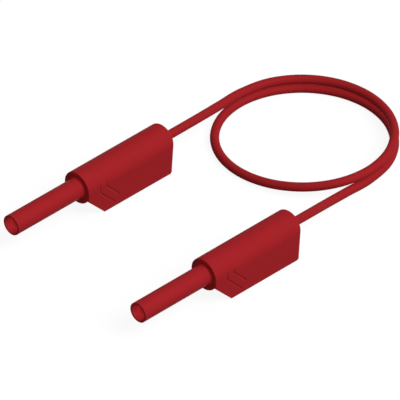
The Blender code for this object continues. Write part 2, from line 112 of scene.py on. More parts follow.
def inside_plug(place):
    """The straight stretch in a plug's housing, from the jacket's stripped end to the outlet."""
    stripped = place + Vector((0.0, JACKET_AT, 0.0))
    outlet = place + Vector((0.0, BODY_LENGTH, 0.0))
    return [stripped, stripped.lerp(outlet, 0.5), outlet]


def loop_points():
    """The turns: a circle whose centre drifts. Its first half lies on its last, then comes down."""
    points = []
    for i in range(LOOP_STEPS + 1):
        share = i / LOOP_STEPS
        angle = share * LOOP_TURN
        descent = min(max((angle - DESCENT_START) / (DESCENT_END - DESCENT_START), 0.0), 1.0)
        rise = STACK_RISE * (1 + math.cos(math.pi * descent)) / 2
        place = Vector((-math.cos(angle), math.sin(angle), 0.0)) * LOOP_RADIUS
        centre = LOOP_START_CENTRE.lerp(LOOP_END_CENTRE, share)
        points.append(centre + place + Vector((rise, -rise, CABLE_LIE + rise)))
    return points


def smooth_through(points):
    """Closely spaced readings of a smooth curve through the points."""
    last = len(points) - 1
    pulls = [(points[min(i + 1, last)] - points[max(i - 1, 0)]) / 6 for i in range(last + 1)]
    readings = [points[0]]
    for i in range(last):
        start, end = points[i], points[i + 1]
        readings += interpolate_bezier(start, start + pulls[i], end - pulls[i + 1], end, READINGS)[1:]
    return readings


lead_a = [Vector(point) * MM for point in LEAD_A]
lead_b = [Vector(point) * MM for point in LEAD_B]
route = smooth_through(
    inside_plug(PLUGS["a"]) + lead_a + loop_points() + lead_b + inside_plug(PLUGS["b"])[::-1]
)


class Signal:
    """A value in a node tree, which Python's arithmetic adds Math nodes to."""

    def __init__(self, shading, socket):
        self.shading = shading
        self.socket = socket

    def combined(self, operation, first, second):
        return self.shading.node("ShaderNodeMath", {"operation": operation}, {0: first, 1: second})

    def __add__(self, other):
        return self.combined("ADD", self, other)

    def __radd__(self, other):
        return self.combined("ADD", other, self)

    def __sub__(self, other):
        return self.combined("SUBTRACT", self, other)

    def __rsub__(self, other):
        return self.combined("SUBTRACT", other, self)

    def __mul__(self, other):
        return self.combined("MULTIPLY", self, other)

    def __rmul__(self, other):
        return self.combined("MULTIPLY", other, self)

    def __or__(self, other):
        return self.combined("MAXIMUM", self, other)


class Shading:
    """The node tree of a material or a world, whose nodes are added by name."""

    def __init__(self, owner):
        owner.use_nodes = True
        self.tree = owner.node_tree

    def feed(self, socket, value):
        """Links a signal to a socket, or sets the socket to a plain value."""
        if isinstance(value, Signal):
            self.tree.links.new(value.socket, socket)
        else:
            socket.default_value = value

    def node(self, kind, settings=None, sockets=None, output=0):
        """Adds a node, makes its settings, fills its sockets and returns one of its outputs."""
        made = self.tree.nodes.new(kind)
        for name, value in (settings or {}).items():
            if name == "stops":
                for stop, (place, colour) in zip(made.color_ramp.elements, value):
                    stop.position, stop.color = place, colour
            else:
                setattr(made, name, value)
        for name, value in (sockets or {}).items():
            self.feed(made.inputs[name], value)
        return Signal(self, made.outputs[output])


class Finish(Shading):
    """A material with one Principled shader."""

    def __init__(self, name, **sockets):
        self.material = bpy.data.materials.new(name)
        super().__init__(self.material)
        self.shader = self.tree.nodes["Principled BSDF"]
        self.surface(**sockets)
        self.material.diffuse_color = self.shader.inputs["Base Color"].default_value

    def surface(self, **signals):
        """Feeds signals or plain values to the shader's own sockets."""
        for socket, signal in signals.items():
            self.feed(self.shader.inputs[socket.replace("_", " ")], signal)

    def noise(self, place, scale, detail=2.0, roughness=0.5):
        """A noise value between 0 and 1, with about the given number of blobs to the metre."""
        sockets = {"Vector": place, "Scale": scale, "Detail": detail, "Roughness": roughness}
        return self.node("ShaderNodeTexNoise", {}, sockets, "Fac")

    def between(self, share, low, high):
        """A colour between two, by a share from 0 to 1."""
        sockets = {0: share, 6: low, 7: high}
        return self.node("ShaderNodeMix", {"data_type": "RGBA"}, sockets, 2)

    def relief(self, height, depth, strength=1.0):
        """A normal from a height between 0 and 1 that stands for a depth in metres."""
        sockets = {"Height": height, "Distance": depth, "Strength": strength}
        return self.node("ShaderNodeBump", {}, sockets, "Normal")


def screen_colour(red, green, blue, gain=1.0):
    """A screen colour, 0 to 255, as linear values, made lighter or darker by a gain."""
    def linear(value):
        value /= 255.0
        return value / 12.92 if value <= 0.04045 else ((value + 0.055) / 1.055) ** 2.4
    return (linear(red) * gain, linear(green) * gain, linear(blue) * gain, 1.0)


JACKET_RED = (165, 36, 40)
JACKET_GLOSS = 0.015
red_jacket = Finish(
    "red_jacket", Base_Color=screen_colour(*JACKET_RED), Roughness=0.5, Specular_IOR_Level=JACKET_GLOSS
)
straightened = red_jacket.node("ShaderNodeAttribute", {"attribute_name": "straightened"}, output="Vector")
drawn_out = red_jacket.node("ShaderNodeMapping", {}, {"Vector": straightened, "Scale": (1.0, 1.0, 0.06)})
cloud = red_jacket.noise(straightened, 90.0, 3.0)
streaks = red_jacket.noise(drawn_out, 2600.0, 3.0, 0.6)
grain = red_jacket.noise(straightened, 5200.0, 2.0)
red_jacket.surface(
    Base_Color=red_jacket.between(
        cloud, screen_colour(*JACKET_RED, gain=0.94), screen_colour(*JACKET_RED, gain=1.06)
    ),
    Roughness=0.42 + 0.12 * cloud + 0.06 * streaks,
    Normal=red_jacket.relief(0.4 * streaks + 0.6 * grain, 0.006 * MM, 0.35),
)


class Nodes:
    """A Geometry Nodes tree with named inputs for its sizes."""

    def __init__(self, name, sizes):
        self.tree = bpy.data.node_groups.new(name, "GeometryNodeTree")
        interface = self.tree.interface
        interface.new_socket("Geometry", in_out="INPUT", socket_type="NodeSocketGeometry")
        interface.new_socket("Geometry", in_out="OUTPUT", socket_type="NodeSocketGeometry")
        self.keys = {}
        for size, value in sizes.items():
            kind = {int: "NodeSocketInt", float: "NodeSocketFloat"}.get(type(value), "NodeSocketMaterial")
            self.keys[size] = interface.new_socket(size, in_out="INPUT", socket_type=kind).identifier
        self.sizes = sizes
        self.entry = self.tree.nodes.new("NodeGroupInput")

    def size(self, name):
        return self.entry.outputs[name]

    def add(self, kind, settings=None, sockets=None):
        """Adds a node, makes its settings and fills its sockets with values or links."""
        made = self.tree.nodes.new(kind)
        for name, value in (settings or {}).items():
            setattr(made, name, value)
        for name, value in (sockets or {}).items():
            if isinstance(value, bpy.types.NodeSocket):
                self.tree.links.new(value, made.inputs[name])
            else:
                made.inputs[name].default_value = value
        return made

    def maths(self, operation, first, second=0.0):
        return self.add("ShaderNodeMath", {"operation": operation}, {0: first, 1: second}).outputs[0]

    def result(self, geometry, finish):
        """Ends the tree with plain geometry in one material."""
        plain = self.add("GeometryNodeRealizeInstances", {}, {"Geometry": geometry})
        coloured = self.add("GeometryNodeSetMaterial", {}, {"Geometry": plain.outputs[0], "Material": finish})
        exit_node = self.tree.nodes.new("NodeGroupOutput")
        self.tree.links.new(coloured.outputs[0], exit_node.inputs[0])

    def apply_to(self, carrier):
        """Puts the tree on an object with its sizes set."""
        modifier = carrier.modifiers.new(self.tree.name, "NODES")
        modifier.node_group = self.tree
        for size, value in self.sizes.items():
            modifier[self.keys[size]] = value
        return modifier


def shown(name, data):
    """A new object of the scene, at the origin."""
    made = bpy.data.objects.new(name, data)
    bpy.context.scene.collection.objects.link(made)
    return made


def plain_mesh(carrier, name):
    """The carrier's evaluated shape as a plain mesh. The carrier is removed."""
    bpy.context.view_layer.update()
    evaluated = carrier.evaluated_get(bpy.context.evaluated_depsgraph_get())
    mesh = bpy.data.meshes.new_from_object(evaluated)
    mesh.name = name
    bpy.data.objects.remove(carrier)
    return mesh


jacket = Nodes(
    "jacket_along_route",
    {"Radius": CABLE_D / 2, "Sides": JACKET_SIDES, "Material": red_jacket.material},
)
along = jacket.add("GeometryNodeSplineParameter")
route_line = jacket.add(
    "GeometryNodeStoreNamedAttribute",
    {"data_type": "FLOAT", "domain": "POINT"},
    {"Geometry": jacket.entry.outputs["Geometry"], "Name": "along", "Value": along.outputs["Length"]},
)
ring = jacket.add(
    "GeometryNodeCurvePrimitiveCircle",
    {},
    {"Radius": jacket.size("Radius"), "Resolution": jacket.size("Sides")},
)
ring_place = jacket.add("GeometryNodeInputPosition")
ring_line = jacket.add(
    "GeometryNodeStoreNamedAttribute",
    {"data_type": "FLOAT_VECTOR", "domain": "POINT"},
    {"Geometry": ring.outputs[0], "Name": "across", "Value": ring_place.outputs[0]},
)
tube = jacket.add(
    "GeometryNodeCurveToMesh",
    {},
    {"Curve": route_line.outputs[0], "Profile Curve": ring_line.outputs[0], "Fill Caps": True},
)
across_read = jacket.add("GeometryNodeInputNamedAttribute", {"data_type": "FLOAT_VECTOR"}, {"Name": "across"})
along_read = jacket.add("GeometryNodeInputNamedAttribute", {"data_type": "FLOAT"}, {"Name": "along"})
across_split = jacket.add("ShaderNodeSeparateXYZ", {}, {0: across_read.outputs[0]})
straight = jacket.add(
    "ShaderNodeCombineXYZ",
    {},
    {"X": across_split.outputs[0], "Y": across_split.outputs[1], "Z": along_read.outputs[0]},
)
measured = jacket.add(
    "GeometryNodeStoreNamedAttribute",
    {"data_type": "FLOAT_VECTOR", "domain": "POINT"},
    {"Geometry": tube.outputs[0], "Name": "straightened", "Value": straight.outputs[0]},
)
smooth = jacket.add("GeometryNodeSetShadeSmooth", {}, {"Geometry": measured.outputs[0]})
jacket.result(smooth.outputs[0], jacket.size("Material"))

line = bpy.data.curves.new("cable_route", "CURVE")
line.dimensions = "3D"
spline = line.splines.new("POLY")
spline.points.add(len(route) - 1)
for point, place in zip(spline.points, route):
    point.co = (*place, 1.0)
carrier = shown("cable_route", line)
jacket.apply_to(carrier)
jacket_mesh = plain_mesh(carrier, "cable_jacket")
cable_jacket = shown("cable_jacket", jacket_mesh)
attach(cable_jacket, "root")
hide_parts("cable")
cable_length = sum((after - before).length for before, after in zip(route, route[1:]))


# Moulded housing
# Red glass-filled nylon, moulded round the inserts in one shot. It is round on top, flat underneath, and its
# flag below the cable slopes away at the front and has grip grooves. A small fillet runs round the shroud's
# root, down to where the front slopes away, and the mould's fine spark finish leaves it satin.
FLAG_BOTTOM_WIDTH = 12.0 * MM
NOSE_DROP = 3.4 * MM
UNDERSIDE_SLOPE = math.radians(45.0)
FRONT_EDGE = 0.4 * MM
REAR_EDGE = 1.2 * MM
REAR_TOP_EDGE = 0.6 * MM
REAR_FOOT_EDGE = 2.2 * MM
REAR_BOTTOM_EDGE = 1.6 * MM
LONG_EDGE = 0.2 * MM
WIDEST_EDGE = max(FRONT_EDGE, REAR_EDGE, REAR_TOP_EDGE, REAR_FOOT_EDGE, REAR_BOTTOM_EDGE, LONG_EDGE)
FLANK_STEPS = 12
EDGE_SEGMENTS = 9
BARREL_STEPS = 120
CUT_PAST = 1.0 * MM
MERGE_WITHIN = 0.0005 * MM
FIT = 0.2 * MM
SHROUD_R = 4.0 * MM
RECESS_R = 4.1 * MM
RECESS_AT = 10.1 * MM
SOCKET_DROP = 6.825 * MM
SLEEVE_R = 3.05 * MM
SLEEVE_FOOT_AT = 9.0 * MM
CABLE_HOLE_R = CABLE_D / 2 + FIT / 4
RIM_EDGE = 0.2 * MM
RIM_STEPS = 4
CABLE_HOLE_AT = 23.3 * MM
SHROUD_HOLE_END = 6.6 * MM
ROOT_FILLET = 0.7 * MM

MOULDING_RED = (167, 36, 41)
PLASTIC_GLOSS = 0.015
red_moulding = Finish(
    "red_moulding", Base_Color=screen_colour(*MOULDING_RED), Roughness=0.5, Specular_IOR_Level=PLASTIC_GLOSS
)
place = red_moulding.node("ShaderNodeTexCoord", output="Object")
cloud = red_moulding.noise(place, 120.0, 4.0, 0.55)
spark = red_moulding.noise(place, 5500.0, 3.0, 0.6)
speckle = red_moulding.noise(place, 1500.0, 2.0)
red_moulding.surface(
    Base_Color=red_moulding.between(
        cloud, screen_colour(*MOULDING_RED, gain=0.95), screen_colour(*MOULDING_RED, gain=1.05)
    ),
    Roughness=0.40 + 0.10 * cloud + 0.08 * speckle,
    Normal=red_moulding.relief(0.7 * spark + 0.3 * speckle, 0.010 * MM, 0.6),
)


def arc(centre, radius, start, end, steps):
    """Points on an arc, both ends included, with angles in degrees."""
    angles = [math.radians(start + (end - start) * i / steps) for i in range(steps + 1)]
    return [(centre[0] + radius * math.cos(a), centre[1] + radius * math.sin(a)) for a in angles]


def bar_of(name, outline, thickness, far_outline=None):
    """A flat outline, drawn in X and Y, given an even thickness about its plane, or run over to another."""
    shape = bmesh.new()
    near, far = (
        [shape.verts.new((x, y, side * thickness / 2)) for x, y in drawn]
        for side, drawn in ((-1, outline), (1, far_outline or outline))
    )
    shape.faces.new(near)
    shape.faces.new(far)
    for i in range(len(near)):
        shape.faces.new((near[i - 1], near[i], far[i], far[i - 1]))
    bmesh.ops.recalc_face_normals(shape, faces=shape.faces)
    mesh = bpy.data.meshes.new(name)
    shape.to_mesh(mesh)
    shape.free()
    return mesh


def turned(name, profile, steps=BARREL_STEPS, closed=False, drop=0.0):
    """A turned solid about the plug's axis, or a drop below it, from (station, radius) pairs."""
    shape = bmesh.new()
    ends = [shape.verts.new((radius, station, 0.0)) for station, radius in profile]
    pairs = list(zip(ends, ends[1:])) + ([(ends[-1], ends[0])] if closed else [])
    edges = [shape.edges.new(pair) for pair in pairs]
    bmesh.ops.spin(
        shape, geom=ends + edges, axis=(0.0, 1.0, 0.0), cent=(0.0, 0.0, 0.0), angle=math.tau, steps=steps
    )
    bmesh.ops.remove_doubles(shape, verts=shape.verts, dist=MERGE_WITHIN)
    bmesh.ops.recalc_face_normals(shape, faces=shape.faces)
    bmesh.ops.translate(shape, vec=(0.0, 0.0, -drop), verts=shape.verts)
    mesh = bpy.data.meshes.new(name)
    shape.to_mesh(mesh)
    shape.free()
    return mesh


def finely_shaded(mesh, sharp=30.0):
    """Smooth shading, broken at real edges."""
    mesh.shade_smooth()
    mesh.set_sharp_from_angle(angle=math.radians(sharp))
    return mesh


def carved(blank, cutters):
    """Cuts the cutters' meshes out of an object and returns what is left as a plain mesh."""
    tools = []
    for cutter in cutters:
        tool = shown(cutter.name + "_cutter", cutter)
        tools.append(tool)
        cut = blank.modifiers.new("Cut", "BOOLEAN")
        cut.operation = "DIFFERENCE"
        cut.solver = "EXACT"
        cut.object = tool
    name = blank.name
    mesh = plain_mesh(blank, name)
    for tool in tools:
        bpy.data.objects.remove(tool)
    return mesh


# An outline drawn in X and Y stands up along the plug, or across it with X rearwards
STANDING = Matrix.Rotation(math.radians(90), 4, "X")
CROSSWISE = Matrix(((0, 0, 1, 0), (1, 0, 0, 0), (0, 1, 0, 0), (0, 0, 0, 1)))


def root_fillet():
    """The fillet between the housing's front face and the shroud, sunk a little into both."""
    hollow = arc((-ROOT_FILLET, SHROUD_R + ROOT_FILLET), ROOT_FILLET, -90, 0, EDGE_SEGMENTS)
    inner, outer = SHROUD_R - FIT, SHROUD_R + ROOT_FILLET
    return turned("root_fillet", [*hollow, (FIT, outer), (FIT, inner), (-ROOT_FILLET, inner)], closed=True)


def edge_rounding(a, b):
    """How much the housing's edge between two corners is rounded: at the rear, most near the table."""
    near = 0.01 * MM
    at_bottom = max(a.z, b.z) < near - FLAG_DROP
    if abs(a.y - b.y) > near:
        return LONG_EDGE if at_bottom else 0.0
    if a.y < near:
        return 0.0 if at_bottom else FRONT_EDGE
    if at_bottom:
        return REAR_BOTTOM_EDGE
    height = (a.z + b.z) / 2
    if height > 0:
        return REAR_TOP_EDGE + (REAR_EDGE - REAR_TOP_EDGE) * (1.0 - height / BARREL_R) ** 2
    return REAR_EDGE + (REAR_FOOT_EDGE - REAR_EDGE) * -height / FLAG_DROP


def housing_blank():
    """The housing before its bores, with its edges rounded and the fillet joined on."""
    outline = arc((0.0, 0.0), BARREL_R, 0, 180, BARREL_STEPS // 2)
    widest, foot = Vector((BARREL_R, 0.0)), Vector((FLAG_BOTTOM_WIDTH / 2, -FLAG_DROP))
    flank = [tuple(widest.lerp(foot, i / FLANK_STEPS)) for i in range(1, FLANK_STEPS + 1)]
    outline += [(-x, y) for x, y in flank] + flank[::-1]
    mesh = bar_of("moulded_housing", outline, BODY_LENGTH)
    mesh.transform(Matrix.Translation((0.0, BODY_LENGTH / 2, 0.0)) @ STANDING)
    weights = mesh.attributes.new("bevel_weight_edge", "FLOAT", "EDGE")
    for edge in mesh.edges:
        rounding = edge_rounding(*(mesh.vertices[i].co for i in edge.vertices))
        weights.data[edge.index].value = rounding / WIDEST_EDGE
    blank = shown("moulded_housing", mesh)
    bevel = blank.modifiers.new("Bevel", "BEVEL")
    bevel.limit_method = "WEIGHT"
    bevel.width = WIDEST_EDGE
    bevel.segments = EDGE_SEGMENTS
    bevel.use_clamp_overlap = False
    fillet = shown("root_fillet", root_fillet())
    added = blank.modifiers.new("Fillet", "BOOLEAN")
    added.operation = "UNION"
    added.solver = "EXACT"
    added.object = fillet
    filleted = shown("moulded_housing", plain_mesh(blank, "moulded_housing"))
    bpy.data.objects.remove(fillet)
    return filleted


def underside_cutter():
    """What the sloping front of the flag leaves out, clear of the barrel's round belly."""
    run = (FLAG_DROP - NOSE_DROP) / math.tan(UNDERSIDE_SLOPE)
    rise = CUT_PAST * math.tan(UNDERSIDE_SLOPE)
    bottom = -rise - FLAG_DROP
    outline = [(-CUT_PAST, rise - NOSE_DROP), (-CUT_PAST, bottom), (run + CUT_PAST, bottom)]
    wedge = bar_of("underside", outline, 4 * BARREL_R)
    wedge.transform(CROSSWISE)
    edge = arc((FRONT_EDGE, BARREL_R - FRONT_EDGE), FRONT_EDGE, 180, 90, EDGE_SEGMENTS)
    rear = 2 * BARREL_R
    belly = turned("belly", [(0.0, 0.0), *edge, (rear, BARREL_R), (rear, 0.0)])
    return carved(shown("underside", wedge), [belly])


GROOVE_WIDTH = 1.0 * MM
GROOVE_FLOOR = 0.3 * MM
GROOVE_DEPTH = 0.25 * MM
GROOVE_PITCH = 3.4 * MM
GROOVE_FIRST = 5.9 * MM
GROOVE_BEND_DROP = 2.2 * MM
GROOVE_LEGS = ((3.6 * MM, 11.0 * MM), (3.4 * MM, 9.2 * MM))


def groove_outline(width, legs):
    """A groove's bent outline about its bend: upright, then down and back beside the sloping front."""
    half = width / 2
    up, down = legs
    inner_bend = half * math.tan(UNDERSIDE_SLOPE / 2)
    along, fall = math.cos(UNDERSIDE_SLOPE), math.sin(UNDERSIDE_SLOPE)
    foot = (down * along, -down * fall)
    return [
        (-half, up), (-half, -inner_bend), (foot[0] - half * fall, foot[1] - half * along),
        (foot[0] + half * fall, foot[1] + half * along), (half, inner_bend), (half, up),
    ]


def groove_cutter(side, turn, legs):
    """What a grip groove in one side of the flag leaves out, with sides that slant to a narrow floor."""
    shift = turn * GROOVE_PITCH
    bend = Vector((0.0, GROOVE_FIRST + shift, shift * math.tan(UNDERSIDE_SLOPE / 2) - GROOVE_BEND_DROP))
    reach = GROOVE_DEPTH + CUT_PAST
    opening = GROOVE_FLOOR + (GROOVE_WIDTH - GROOVE_FLOOR) * reach / GROOVE_DEPTH
    floor = groove_outline(GROOVE_FLOOR, legs)
    bar = bar_of(f"groove_{side}_{turn}", floor, reach, groove_outline(opening, legs))
    lean = math.atan((BARREL_R - FLAG_BOTTOM_WIDTH / 2) / FLAG_DROP)
    outwards = Matrix.Translation(bend + Vector((BARREL_R - GROOVE_DEPTH + reach / 2, 0.0, 0.0)))
    at_side = Matrix.Translation((BARREL_R, 0.0, 0.0))
    leaning = at_side @ Matrix.Rotation(lean, 4, "Y") @ at_side.inverted()
    bar.transform(leaning @ outwards @ CROSSWISE)
    if side == "left":
        bar.transform(Matrix.Scale(-1, 4, (1, 0, 0)))
        bar.flip_normals()
    return bar


grooves = [
    groove_cutter(side, turn, legs)
    for side in ("right", "left")
    for turn, legs in enumerate(GROOVE_LEGS)
]
rear = BODY_LENGTH + CUT_PAST
root_r = SHROUD_R + FIT / 4
shroud_hole = turned(
    "shroud_hole",
    [(-CUT_PAST, 0.0), (-CUT_PAST, root_r), (SHROUD_HOLE_END, root_r), (SHROUD_HOLE_END, 0.0)],
)


def flare(radius):
    """The rounded rim of a hole that opens in the housing's rear face."""
    rim = arc((BODY_LENGTH - RIM_EDGE, radius + RIM_EDGE), RIM_EDGE, -90, 0, RIM_STEPS)
    return [*rim, (rear, radius + RIM_EDGE), (rear, 0.0)]


cable_hole = turned("cable_hole", [(CABLE_HOLE_AT, 0.0), (CABLE_HOLE_AT, CABLE_HOLE_R), *flare(CABLE_HOLE_R)])
foot_r = SLEEVE_R + FIT / 2
socket_hole = turned(
    "socket_hole",
    [
        (SLEEVE_FOOT_AT, 0.0), (SLEEVE_FOOT_AT, foot_r), (RECESS_AT, foot_r), (RECESS_AT, RECESS_R),
        *flare(RECESS_R),
    ],
    drop=SOCKET_DROP,
)
housing_mesh = carved(housing_blank(), [underside_cutter(), shroud_hole, cable_hole, socket_hole, *grooves])
finely_shaded(housing_mesh)
weighing = shown("moulded_housing", housing_mesh)
weighted = weighing.modifiers.new("Weighted normals", "WEIGHTED_NORMAL")
weighted.keep_sharp = True
housing_mesh = plain_mesh(weighing, "moulded_housing")


def on_both_plugs(mesh, name, node, finish):
    """A piece on each plug, from a mesh made about the plug's axis. It stands for the plug's CAD node."""
    mesh.materials.clear()
    mesh.materials.append(finish.material)
    pieces = []
    for tag, place in PLUGS.items():
        fitted = mesh.copy()
        fitted.transform(Matrix.Translation(place))
        piece = shown(f"{name}_{tag}", fitted)
        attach(piece, "root")
        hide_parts(f"{node}_{tag}")
        pieces.append(piece)
    return pieces


housings = on_both_plugs(housing_mesh, "moulded_housing", "housing", red_moulding)


# Insulating shroud
# A rigid tube of the same red nylon round the contact pin, 33.4 mm long, with a softly rounded rim. The
# housing is moulded over its rear end.
low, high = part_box("shroud_a")
SHROUD_FRONT = low.y - PLUGS["a"].y
SHROUD_REAR = high.y - PLUGS["a"].y
SHROUD_WALL = 0.8 * MM
SHROUD_FLOOR = 1.6 * MM
SHROUD_RIM = 0.12 * MM
RIB_R = (high.x - low.x) / 2
RIB_AT = 1.6 * MM
RIB_WIDTH = 1.2 * MM
PIN_R = 1.975 * MM
SHROUD_STEPS = 96
SHROUD_RIM_STEPS = 6

thin_wall = Finish(
    "red_shroud", Base_Color=screen_colour(*MOULDING_RED), Roughness=0.45, Specular_IOR_Level=PLASTIC_GLOSS
)
place = thin_wall.node("ShaderNodeTexCoord", output="Object")
cloud = thin_wall.noise(place, 120.0, 4.0, 0.55)
spark = thin_wall.noise(place, 5500.0, 3.0, 0.6)
thin_wall.surface(
    Base_Color=thin_wall.between(
        cloud, screen_colour(*MOULDING_RED, gain=0.96), screen_colour(*MOULDING_RED, gain=1.05)
    ),
    Roughness=0.36 + 0.12 * cloud,
    Normal=thin_wall.relief(spark, 0.006 * MM, 0.5),
)

bore_r = SHROUD_R - SHROUD_WALL
rim = SHROUD_RIM
front = SHROUD_FRONT
shroud_profile = [
    *arc((front + rim, SHROUD_R - rim), rim, 180, 90, SHROUD_RIM_STEPS),
    (RIB_AT, SHROUD_R), (RIB_AT, RIB_R), (RIB_AT + RIB_WIDTH, RIB_R), (RIB_AT + RIB_WIDTH, SHROUD_R),
    (SHROUD_REAR, SHROUD_R), (SHROUD_REAR, PIN_R + FIT), (SHROUD_REAR - SHROUD_FLOOR, PIN_R + FIT),
    (SHROUD_REAR - SHROUD_FLOOR, bore_r),
    *arc((front + rim, bore_r + rim), rim, 270, 180, SHROUD_RIM_STEPS),
]
shroud_mesh = finely_shaded(turned("insulating_shroud", shroud_profile, SHROUD_STEPS, closed=True))
shrouds = on_both_plugs(shroud_mesh, "insulating_shroud", "shroud", thin_wall)


# Contact pin and its nose
# Turned brass with a bright nickel plate: a neck for the spring cage, a shank, a collar and a stem behind.
# The rounded nose is pressed on the neck's spigot and keeps the cage in place.
low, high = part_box("contact_pin_a")
nickel = Finish("nickel_plate", Base_Color=screen_colour(206, 200, 186), Metallic=1.0, Roughness=0.25)
place = nickel.node("ShaderNodeTexCoord", output="Object")
station = nickel.node("ShaderNodeSeparateXYZ", {}, {0: place}, "Y")
lathe = nickel.node("ShaderNodeCombineXYZ", {}, {"Y": station})
turning = nickel.noise(lathe, 9000.0, 2.0)
tarnish = nickel.noise(place, 400.0, 4.0)
nickel.surface(
    Base_Color=nickel.between(tarnish, screen_colour(198, 191, 174), screen_colour(212, 207, 196)),
    Roughness=0.18 + 0.10 * turning + 0.08 * tarnish,
    Normal=nickel.relief(turning, 0.003 * MM, 0.4),
)

NOSE_LENGTH = 2.2 * MM
NOSE_ROUND = 0.9 * MM
SPIGOT_R = 0.8 * MM
SPIGOT_LENGTH = 1.2 * MM
NECK_R = 1.25 * MM
COLLAR_R = 3.0 * MM
STEM_R = 1.9 * MM
CRIMP_R = 1.2 * MM
CRIMP_DEPTH = 7.0 * MM
COLLAR_AT = 5.1 * MM
COLLAR_WIDTH = 1.4 * MM
TURNED_EDGE = 0.12 * MM
PIN_STEPS = 64
PIN_EDGE_STEPS = 4
NOSE_STEPS = 12
TIP_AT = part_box("pin_nose_a")[0].y - PLUGS["a"].y
NECK_AT = TIP_AT + NOSE_LENGTH
cage_low, cage_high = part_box("contact_spring_a")
SHANK_AT = cage_high.y - PLUGS["a"].y + FIT
STEM_END = high.y - PLUGS["a"].y

edge = TURNED_EDGE
pin_profile = [
    (NECK_AT - SPIGOT_LENGTH, 0.0), (NECK_AT - SPIGOT_LENGTH, SPIGOT_R), (NECK_AT, SPIGOT_R),
    (NECK_AT, NECK_R), (SHANK_AT, NECK_R),
    *arc((SHANK_AT + edge, PIN_R - edge), edge, 180, 90, PIN_EDGE_STEPS),
    (COLLAR_AT, PIN_R), (COLLAR_AT, COLLAR_R), (COLLAR_AT + COLLAR_WIDTH, COLLAR_R),
    (COLLAR_AT + COLLAR_WIDTH, STEM_R), (STEM_END, STEM_R), (STEM_END, CRIMP_R),
    (STEM_END - CRIMP_DEPTH, CRIMP_R), (STEM_END - CRIMP_DEPTH, 0.0),
]
pin_mesh = finely_shaded(turned("turned_pin", pin_profile, PIN_STEPS))
on_both_plugs(pin_mesh, "turned_pin", "contact_pin", nickel)

hole_r = SPIGOT_R + FIT
nose_rear = NECK_AT - FIT
nose_profile = [
    (TIP_AT, 0.0), *arc((TIP_AT + NOSE_ROUND, PIN_R - NOSE_ROUND), NOSE_ROUND, 180, 90, NOSE_STEPS),
    *arc((nose_rear - edge, PIN_R - edge), edge, 90, 0, PIN_EDGE_STEPS),
    (nose_rear, hole_r), (NECK_AT - SPIGOT_LENGTH - FIT, hole_r), (NECK_AT - SPIGOT_LENGTH - FIT, 0.0),
]
nose_mesh = finely_shaded(turned("rounded_nose", nose_profile, PIN_STEPS))
on_both_plugs(nose_mesh, "rounded_nose", "pin_nose", nickel)


# Spring cage
# A sleeve of thin spring bronze between the nose and the shank. It is slit into slats that bow out between
# two closed bands and press against the wall of a socket.
CAGE_FRONT = cage_low.y - PLUGS["a"].y
CAGE_LENGTH = cage_high.y - cage_low.y
CAGE_SLATS = 8
CAGE_SHEET = 0.25 * MM
CAGE_BAND = 1.4 * MM
CAGE_BULGE_R = 2.075 * MM
SLIT_WIDTH = 0.55 * MM
SLAT_COLUMNS = 12
SLAT_ROWS = 64
CAGE_MERGE = 0.002 * MM

bronze = Finish("spring_bronze", Base_Color=screen_colour(202, 166, 100), Metallic=1.0, Roughness=0.3)
place = bronze.node("ShaderNodeTexCoord", output="Object")
rolled = bronze.node("ShaderNodeMapping", {}, {"Vector": place, "Scale": (1.0, 0.05, 1.0)})
rolling = bronze.noise(rolled, 7000.0, 2.0)
stain = bronze.noise(place, 500.0, 3.0)
bronze.surface(
    Base_Color=bronze.between(stain, screen_colour(190, 150, 84), screen_colour(210, 176, 112)),
    Roughness=0.24 + 0.10 * rolling + 0.08 * stain,
    Normal=bronze.relief(rolling, 0.003 * MM, 0.4),
)

cage = Nodes(
    "slit_cage",
    {
        "Slats": CAGE_SLATS, "Band radius": NECK_R + FIT + CAGE_SHEET, "Bulge radius": CAGE_BULGE_R,
        "Front": CAGE_FRONT, "Length": CAGE_LENGTH, "Band": CAGE_BAND, "Slit": SLIT_WIDTH,
        "Material": bronze.material,
    },
)
sheet = cage.add(
    "GeometryNodeMeshGrid",
    {},
    {"Size X": 1.0, "Size Y": 1.0, "Vertices X": SLAT_COLUMNS + 1, "Vertices Y": SLAT_ROWS + 1},
)
flat = cage.add("ShaderNodeSeparateXYZ", {}, {0: cage.add("GeometryNodeInputPosition").outputs[0]})
share_round = flat.outputs[0]
share_along = cage.maths("ADD", flat.outputs[1], 0.5)
# The rows between the two bands bow out
band_share = cage.maths("DIVIDE", cage.size("Band"), cage.size("Length"))
free_share = cage.maths("SUBTRACT", 1.0, cage.maths("MULTIPLY", band_share, 2.0))
bow_share = cage.maths("DIVIDE", cage.maths("SUBTRACT", share_along, band_share), free_share)
bow_clamped = cage.maths("MINIMUM", cage.maths("MAXIMUM", bow_share, 0.0), 1.0)
bow = cage.maths("SINE", cage.maths("MULTIPLY", bow_clamped, math.pi))
swell = cage.maths("SUBTRACT", cage.size("Bulge radius"), cage.size("Band radius"))
radius = cage.maths("ADD", cage.size("Band radius"), cage.maths("MULTIPLY", swell, bow))
sector = cage.maths("DIVIDE", math.tau, cage.size("Slats"))
angle = cage.maths("MULTIPLY", share_round, sector)
run_along = cage.maths("MULTIPLY", share_along, cage.size("Length"))
station_along = cage.maths("ADD", cage.size("Front"), run_along)
bent_place = cage.add(
    "ShaderNodeCombineXYZ",
    {},
    {
        "X": cage.maths("MULTIPLY", radius, cage.maths("SINE", angle)),
        "Y": station_along,
        "Z": cage.maths("MULTIPLY", radius, cage.maths("COSINE", angle)),
    },
)
